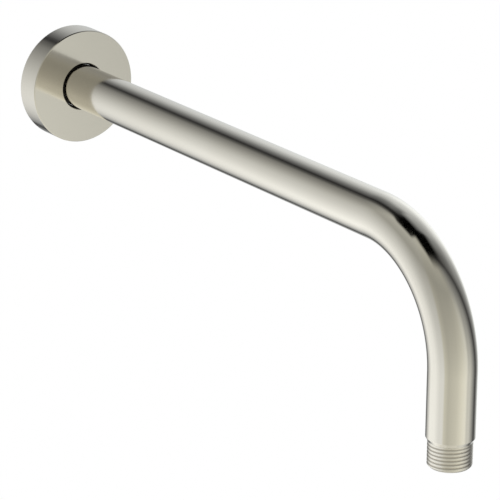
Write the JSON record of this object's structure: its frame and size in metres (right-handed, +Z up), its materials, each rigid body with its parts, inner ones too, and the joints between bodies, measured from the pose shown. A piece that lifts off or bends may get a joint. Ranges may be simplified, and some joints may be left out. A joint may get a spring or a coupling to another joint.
{
  "type": "shower arm",
  "caption": "Wall-mounted shower arm: a round tube bent down to a threaded outlet, with a threaded wall tail and a round cover plate that slides and turns on the tube.",
  "frame": {"origin": "on the arm's axis in the plane of the wall, where the tube's end meets the wall tail's thread", "axes": "+X out of the wall along the arm, +Z up, outlet pointing down along -Z"},
  "size_m": [0.3595, 0.06, 0.1335],
  "materials": {
    "nickel_tube": "brass tube, brushed along its length and nickel plated, satin",
    "nickel_thread": "turned brass thread, nickel plated",
    "nickel_plate": "turned brass plate, satin nickel plated",
    "nitrile_rubber": "black moulded rubber"
  },
  "bodies": {
    "arm": {"arm_tube": "nickel_tube", "outlet_nipple": "nickel_thread", "inlet_nipple": "nickel_thread"},
    "seal": {"flange_o_ring": "nitrile_rubber"},
    "plate": {"wall_flange": "nickel_plate"}
  },
  "joints": [
    {"name": "plate_slide", "type": "slide", "parent": "arm", "child": "seal", "axis": [1, 0, 0], "range_m": [0, 0.258]},
    {"name": "plate_turn", "type": "hinge", "parent": "seal", "child": "plate", "pos_m": [0.0106, 0, 0], "axis": [1, 0, 0], "continuous": true}
  ]
}
